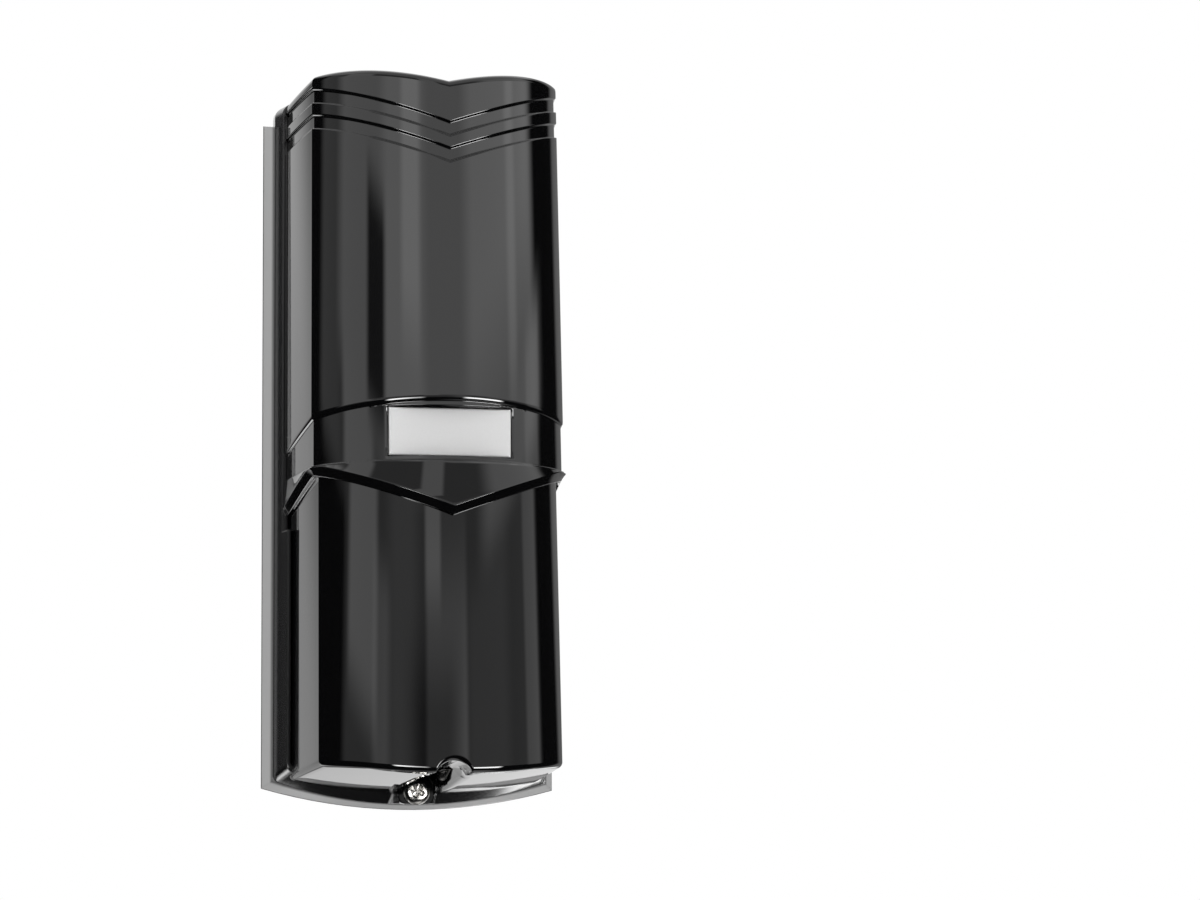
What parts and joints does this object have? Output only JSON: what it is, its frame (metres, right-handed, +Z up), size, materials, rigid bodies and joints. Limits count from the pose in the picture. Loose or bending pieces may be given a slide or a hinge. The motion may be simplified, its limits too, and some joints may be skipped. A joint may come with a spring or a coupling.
{
  "type": "photoelectric beam sensor",
  "caption": "Wall-mounted infrared beam sensor with a tall glossy rounded cover, chevron top, blank name plate, hooded lower front and aimable lens units inside.",
  "frame": {"origin": "on the wall face of the rear housing, on its centre line, midway between the two fixing slots", "axes": "+X to the right seen from the front, +Y into the wall, +Z up along the tall sides"},
  "size_m": [0.0892, 0.0758, 0.2151],
  "materials": {
    "housing_black": "gloss moulded",
    "cover_black": "high gloss moulded",
    "plate_grey": "satin",
    "gasket_rubber": "matt",
    "screw_steel": "bright plated",
    "insert_brass": "machined",
    "chassis_plastic": "fine moulded grain",
    "board_green": "solder mask",
    "terminal_plastic": "moulded",
    "relay_plastic": "moulded",
    "capacitor_can": "drawn",
    "chip_plastic": "moulded",
    "trimmer_plastic": "moulded",
    "rotor_plastic": "moulded",
    "lamp_plastic": "clear tinted",
    "switch_plastic": "moulded",
    "bracket_plastic": "moulded",
    "cup_plastic": "moulded",
    "lens_clear": "polished",
    "diode_plastic": "tinted epoxy"
  },
  "bodies": {
    "housing": {"base_housing": "housing_black", "front_cover": "cover_black", "name_plate": "plate_grey", "cover_gasket": "gasket_rubber", "cover_screw": "screw_steel", "cover_screw_washer": "screw_steel", "cover_screw_insert": "insert_brass", "wiring_grommet": "gasket_rubber", "inner_chassis": "chassis_plastic", "chassis_screws": "screw_steel", "circuit_board": "board_green", "board_screws": "screw_steel", "terminal_block": "terminal_plastic", "terminal_screws": "screw_steel", "alarm_relay": "relay_plastic", "capacitors": "capacitor_can", "chips": "chip_plastic", "delay_trimmer": "trimmer_plastic", "status_leds": "lamp_plastic", "tamper_switch": "switch_plastic"},
    "upper_fork": {"upper_pan_bracket": "bracket_plastic", "upper_pivot_keeper": "screw_steel"},
    "upper_head": {"upper_lens_cup": "cup_plastic", "upper_lens": "lens_clear", "upper_lens_bezel": "bracket_plastic", "upper_aim_board": "board_green", "upper_infrared_diode": "diode_plastic"},
    "lower_fork": {"lower_pan_bracket": "bracket_plastic", "lower_pivot_keeper": "screw_steel"},
    "lower_head": {"lower_lens_cup": "cup_plastic", "lower_lens": "lens_clear", "lower_lens_bezel": "bracket_plastic", "lower_aim_board": "board_green", "lower_infrared_diode": "diode_plastic"},
    "trimmer_rotor": {"delay_rotor": "rotor_plastic"},
    "plunger": {"tamper_plunger": "rotor_plastic"}
  },
  "joints": [
    {"name": "upper_pan", "type": "hinge", "parent": "housing", "child": "upper_fork", "pos_m": [0, -0.038, 0.055], "axis": [0, 0, 1], "range_deg": [-90, 90]},
    {"name": "upper_tilt", "type": "hinge", "parent": "upper_fork", "child": "upper_head", "pos_m": [0, -0.038, 0.055], "axis": [1, 0, 0], "range_deg": [-10, 10]},
    {"name": "lower_pan", "type": "hinge", "parent": "housing", "child": "lower_fork", "pos_m": [0, -0.038, -0.055], "axis": [0, 0, 1], "range_deg": [-90, 90]},
    {"name": "lower_tilt", "type": "hinge", "parent": "lower_fork", "child": "lower_head", "pos_m": [0, -0.038, -0.055], "axis": [1, 0, 0], "range_deg": [-10, 10]},
    {"name": "delay_turn", "type": "hinge", "parent": "housing", "child": "trimmer_rotor", "pos_m": [0.019, -0.022, 0.0025], "axis": [0, -1, 0], "range_deg": [-130, 130]},
    {"name": "plunger_press", "type": "slide", "parent": "housing", "child": "plunger", "axis": [0, 1, 0], "range_m": [0, 0.001], "stiffness_N_per_m": 250, "springref_m": -0.002}
  ]
}
